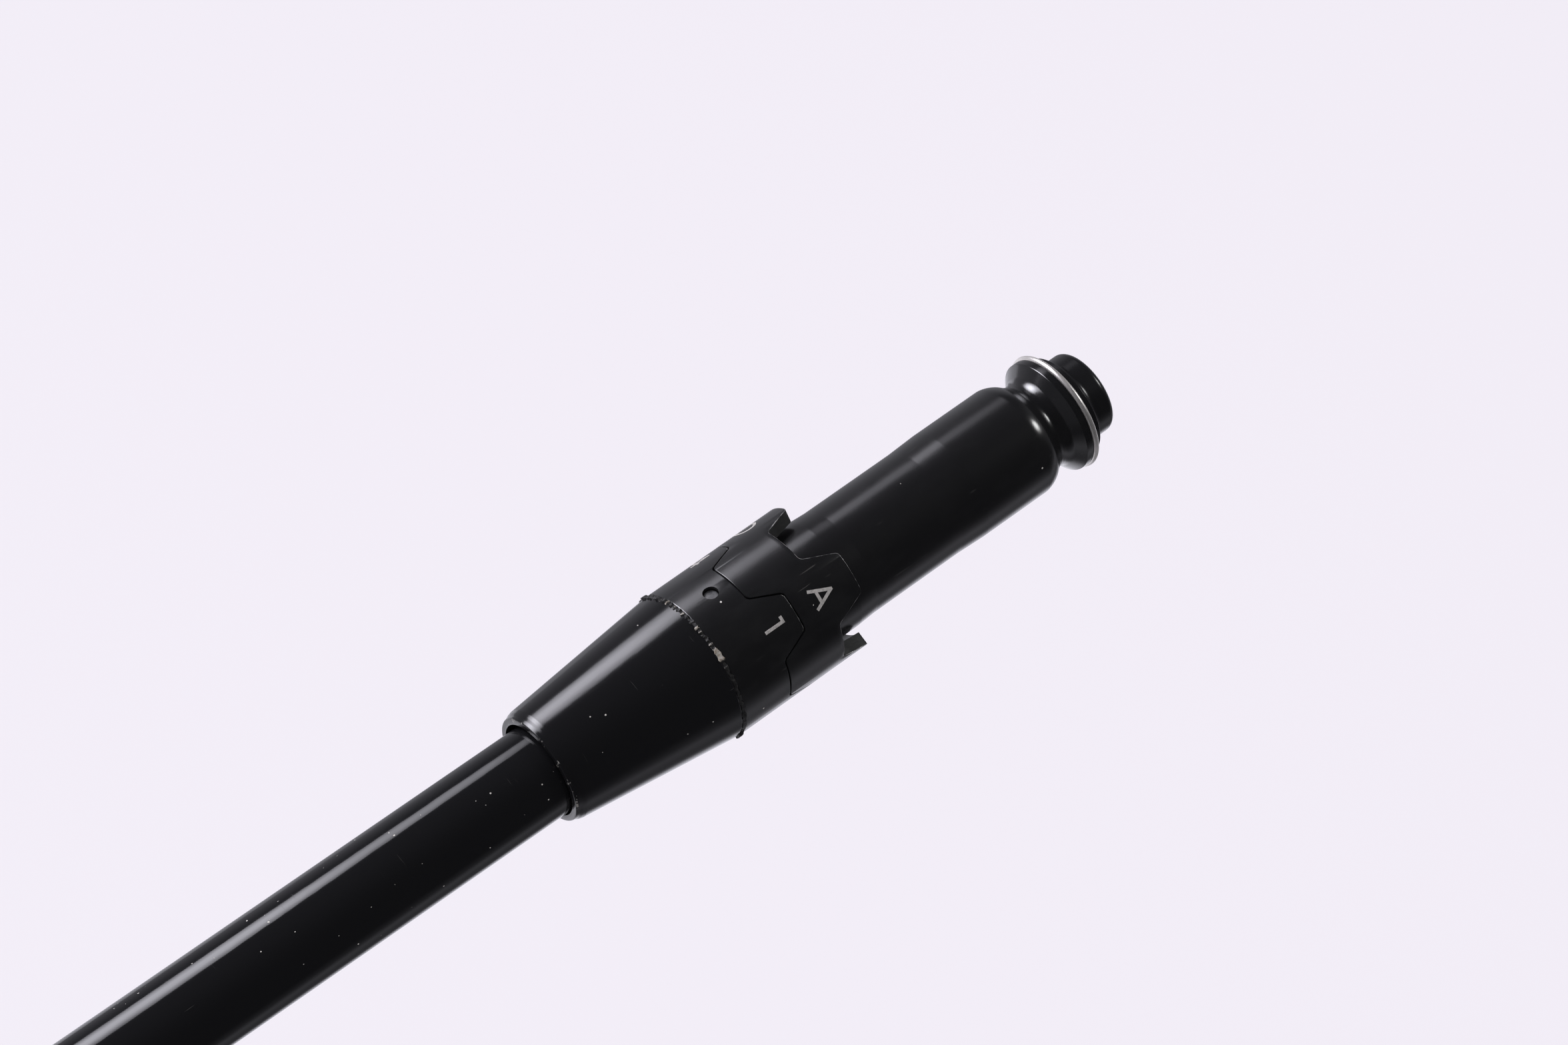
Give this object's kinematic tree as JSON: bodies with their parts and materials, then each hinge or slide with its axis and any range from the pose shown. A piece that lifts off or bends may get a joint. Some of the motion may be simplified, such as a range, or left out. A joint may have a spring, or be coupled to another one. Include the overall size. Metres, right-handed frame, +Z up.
{
  "type": "indexed shaft adapter",
  "caption": "Adapter bonded to the tip of a tubular shaft, with a ferrule, a numbered index collar, a lettered ring that lifts and turns between settings, and a screwed tip.",
  "frame": {"origin": "centre of the tip's end face, at the mouth of the screw hole", "axes": "+X along the shaft's axis, out of the tip; +Z up as it lies on a bench; +Y completes a right-handed frame"},
  "size_m": [0.1217, 0.015, 0.015],
  "materials": {
    "shaft_paint": "gloss black paint over a carbon-fibre tube",
    "plug": "dull",
    "epoxy": "dried, dull",
    "ferrule": "polished, lightly scratched",
    "anodised_barrel": "satin black anodised",
    "anodised_index": "satin black anodised",
    "pin_steel": "dark",
    "mark_paint": "pale grey paint fill",
    "rubber": "dull",
    "ring_steel": "polished stainless spring wire",
    "bushing": "glossy black",
    "insert_steel": "satin"
  },
  "bodies": {
    "adapter": {"shaft_tube": "shaft_paint", "shaft_tip_plug": "plug", "shaft_epoxy": "epoxy", "ferrule": "ferrule", "lip_epoxy": "epoxy", "seam_epoxy": "epoxy", "barrel": "anodised_barrel", "index_collar": "anodised_index", "collar_pin": "pin_steel", "number_marks": "mark_paint", "end_bushing": "bushing", "thread_insert": "insert_steel"},
    "ring_carrier": {"friction_ring": "rubber"},
    "lettered_ring": {"letter_ring": "anodised_index", "letter_marks": "mark_paint"},
    "retainer": {"retaining_ring": "ring_steel"}
  },
  "joints": [
    {"name": "ring_lift", "type": "slide", "parent": "adapter", "child": "ring_carrier", "axis": [1, 0, 0], "range_m": [0, 0.03]},
    {"name": "ring_index", "type": "hinge", "parent": "ring_carrier", "child": "lettered_ring", "pos_m": [-0.037, 0, 0], "axis": [1, 0, 0], "range_deg": [0, 90]},
    {"name": "retainer_spin", "type": "hinge", "parent": "adapter", "child": "retainer", "pos_m": [-0.0038, 0, 0], "axis": [1, 0, 0], "continuous": true}
  ],
  "couplings": [
    {"joint": "ring_index", "follows": "ring_lift", "rad_per_m": 52.35}
  ]
}
